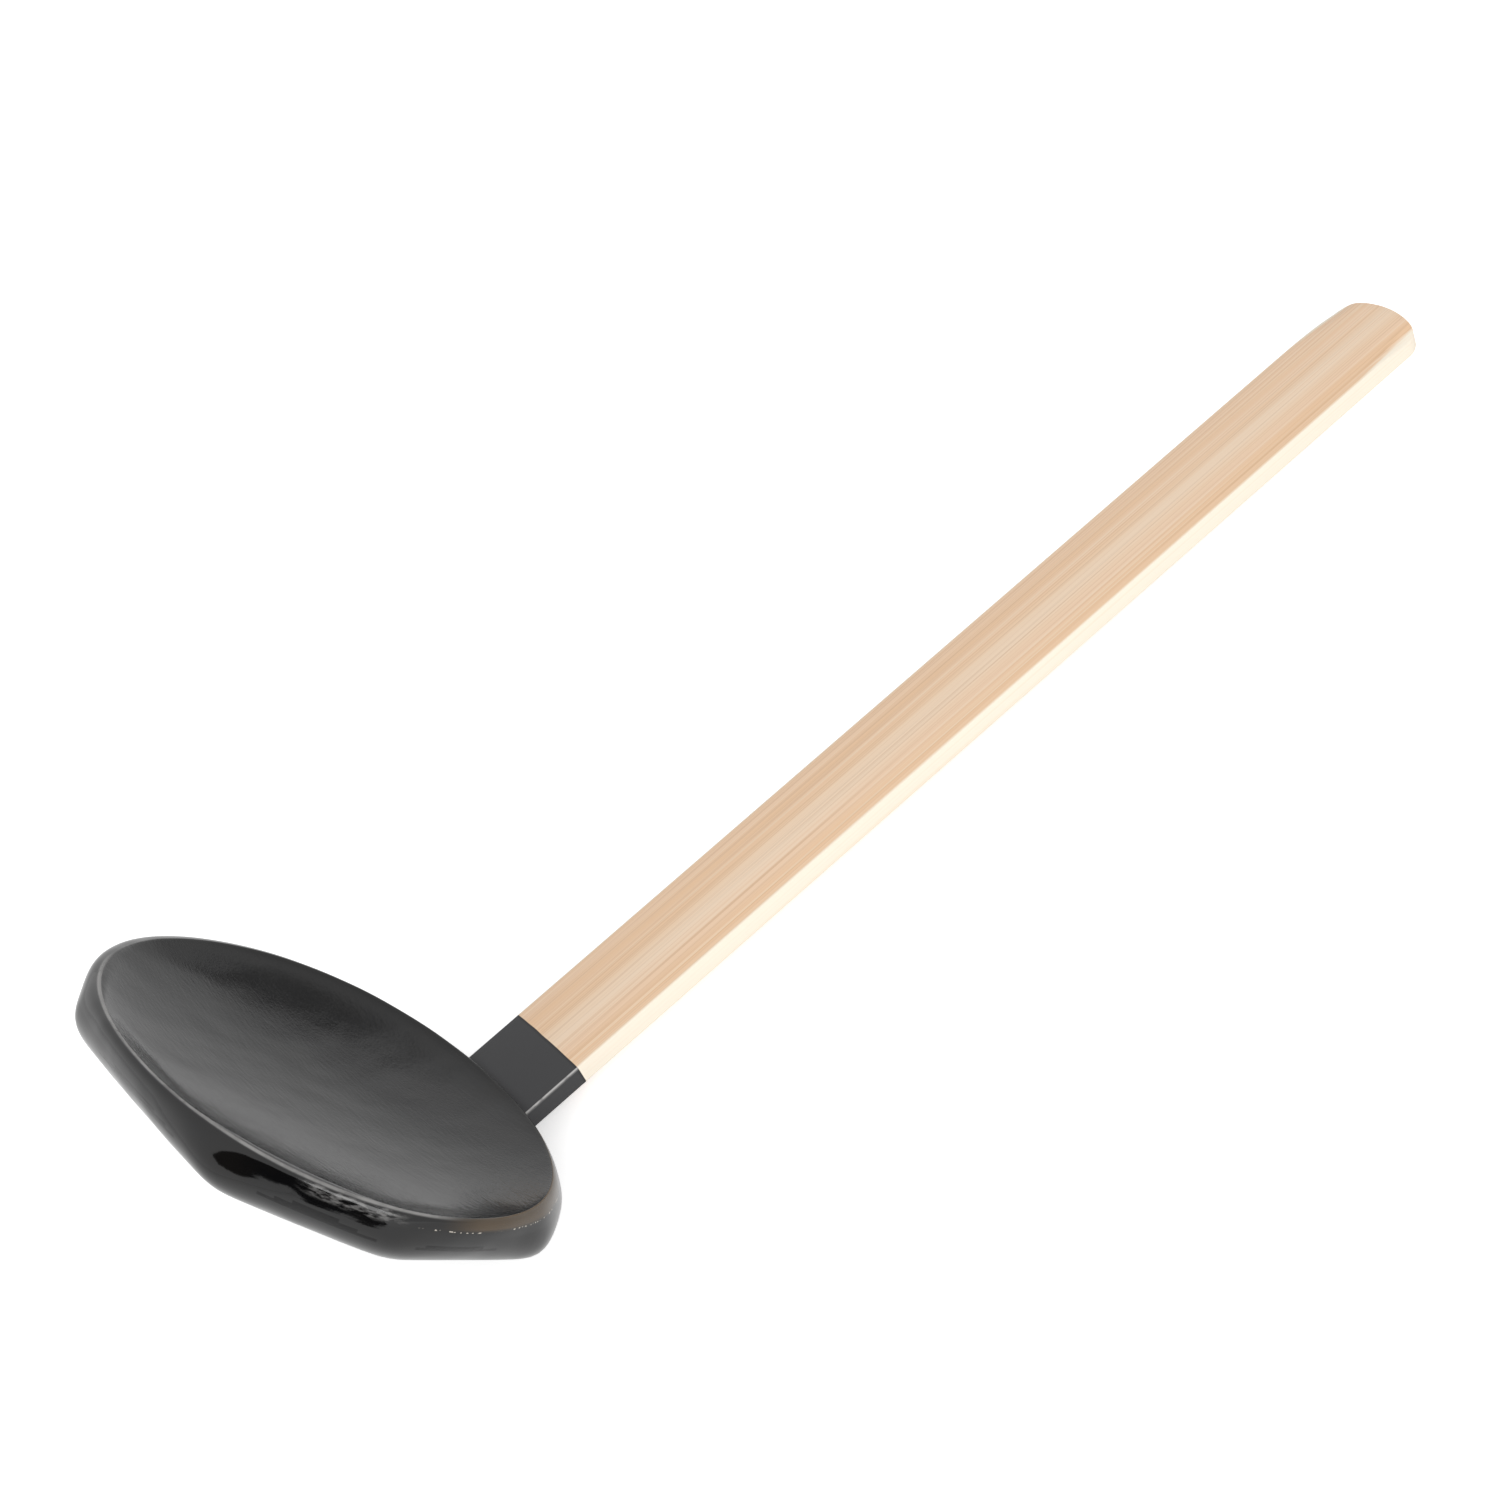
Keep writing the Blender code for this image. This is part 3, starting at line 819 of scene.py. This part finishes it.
dress(bowl, makeLacquer("outerLacquer", lacquerSet["wallCoat"], rimMarks=True))
bowl.data.materials.append(makeLacquer("dishLacquer", lacquerSet["dishCoat"], rimMarks=False))
paintDish(bowl)
dress(handle, makeBamboo())
peg = frame["nodes"]["tenon_peg"]
peg.material_slots[0].material = makePegWood()
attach(bowl, "root")
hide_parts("bowl")
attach(handle, "root")
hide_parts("handle")
print("materials on")


# studio
studioSet = {
    "white": (1, 1, 1, 1),
    "floorSize": 3.0,
    "floorGap": 0.0001,
    "floorWhite": (0.93, 0.93, 0.93, 1.0),
    "floorRoughness": 0.8,
    "floorGloss": 0.1,
    "floorGlow": 0.10,
    "floorSeenGlow": 0.40,     # more of it for the camera, for the white background
    "skyFill": 0.68,
    "bowlSpot": (0.01, -0.115, 0.0),     # the cards stand around this spot
    "flags": [                 # name, azimuth, roll, distance, width, height, above the table, brightness
        ("leftFlag", 32, -36, 0.30, 0.34, 0.42, 0.07, 0.0),
        ("rightFlag", 39, 0, 0.30, 0.22, 0.50, 0.0, 0.0),
        ("backFlag", -143, 0, 0.50, 0.06, 0.13, 0.0, 0.30),
    ],
    "keyPlace": (0.75, -0.25, 0.62),
    "keyAim": (0, 0, 0.02),
    "keySize": 0.7,
    "keyPower": 5.3,
}


def seenLevel(tree, level, more, rays):
    # a level for the light on everything, with more of it for these rays
    path = addNode(tree, "ShaderNodeLightPath")
    seen = path.outputs[rays[0]]
    for ray in rays[1:]:
        seen = mathNode(tree, "MAXIMUM", seen, path.outputs[ray])
    return mathNode(tree, "MULTIPLY_ADD", seen, more, level)


def makeFloor():
    deselectAll()
    bpy.ops.mesh.primitive_plane_add(size=studioSet["floorSize"],
                                     location=(0, 0, cadLow.z - studioSet["floorGap"]))
    floor = bpy.context.object
    floor.name = "whiteTable"
    material, tree, shader = newMaterial("whitePaper")
    shader.inputs["Base Color"].default_value = studioSet["floorWhite"]
    shader.inputs["Roughness"].default_value = studioSet["floorRoughness"]
    shader.inputs["Specular IOR Level"].default_value = studioSet["floorGloss"]
    shader.inputs["Emission Color"].default_value = studioSet["white"]
    glow = seenLevel(tree, studioSet["floorGlow"], studioSet["floorSeenGlow"], ["Is Camera Ray"])
    tree.links.new(glow, shader.inputs["Emission Strength"])
    dress(floor, material)


def makeSky():
    world = bpy.data.worlds.new("whiteTent")
    bpy.context.scene.world = world
    world.use_nodes = True
    tree = world.node_tree
    back = tree.nodes["Background"]
    back.inputs["Color"].default_value = studioSet["white"]
    fill = studioSet["skyFill"]
    rays = ["Is Camera Ray", "Is Glossy Ray", "Is Transmission Ray"]
    tree.links.new(seenLevel(tree, fill, 1.0 - fill, rays), back.inputs["Strength"])


def makeKey():
    deselectAll()
    bpy.ops.object.light_add(type="AREA", location=studioSet["keyPlace"])
    key = bpy.context.object
    key.name = "softKey"
    key.data.shape = "SQUARE"
    key.data.size = studioSet["keySize"]
    key.data.energy = studioSet["keyPower"]
    aim = Vector(studioSet["keyAim"]) - key.location
    key.rotation_euler = aim.to_track_quat("-Z", "Y").to_euler()


def makeFlag(name, azimuth, roll, distance, width, height, above, level):
    # an upright dark card that only the gloss sees; azimuth from -y towards +x
    turn = math.radians(azimuth)
    foot = Vector(studioSet["bowlSpot"]) + Vector((math.sin(turn), -math.cos(turn), 0)) * distance
    deselectAll()
    bpy.ops.mesh.primitive_plane_add(size=1)
    card = bpy.context.object
    card.name = name
    card.scale = (width, height, 1)
    card.rotation_euler = (math.pi / 2, math.radians(roll), turn)
    card.location = foot + Vector((0, 0, cadLow.z + above + height / 2))
    bpy.ops.object.transform_apply(location=True, rotation=True, scale=True)
    material = bpy.data.materials.new(name)
    material.use_nodes = True
    tree = material.node_tree
    tree.nodes.clear()
    glow = addNode(tree, "ShaderNodeEmission")
    glow.inputs["Strength"].default_value = level
    out = addNode(tree, "ShaderNodeOutputMaterial")
    tree.links.new(glow.outputs[0], out.inputs["Surface"])
    dress(card, material)
    card.visible_camera = False
    card.visible_diffuse = False
    card.visible_shadow = False


cameraSet = {
    "place": (0.30615, -0.12274, 0.31849),    # fitted to the outline in the photo
    "turn": (44.174, 20.930, 51.105),         # in degrees
    "lens": 64.8,
    "sensor": 36.0,
    "clipStart": 0.01,
}


def makeCamera():
    deselectAll()
    bpy.ops.object.camera_add(location=cameraSet["place"],
                              rotation=[math.radians(a) for a in cameraSet["turn"]])
    camera = bpy.context.object
    camera.data.lens = cameraSet["lens"]
    camera.data.sensor_width = cameraSet["sensor"]
    camera.data.clip_start = cameraSet["clipStart"]
    bpy.context.scene.camera = camera


makeFloor()
makeSky()
makeKey()
for flag in studioSet["flags"]:
    makeFlag(*flag)
makeCamera()
bpy.context.scene.view_settings.view_transform = "Standard"
print("studio ready")
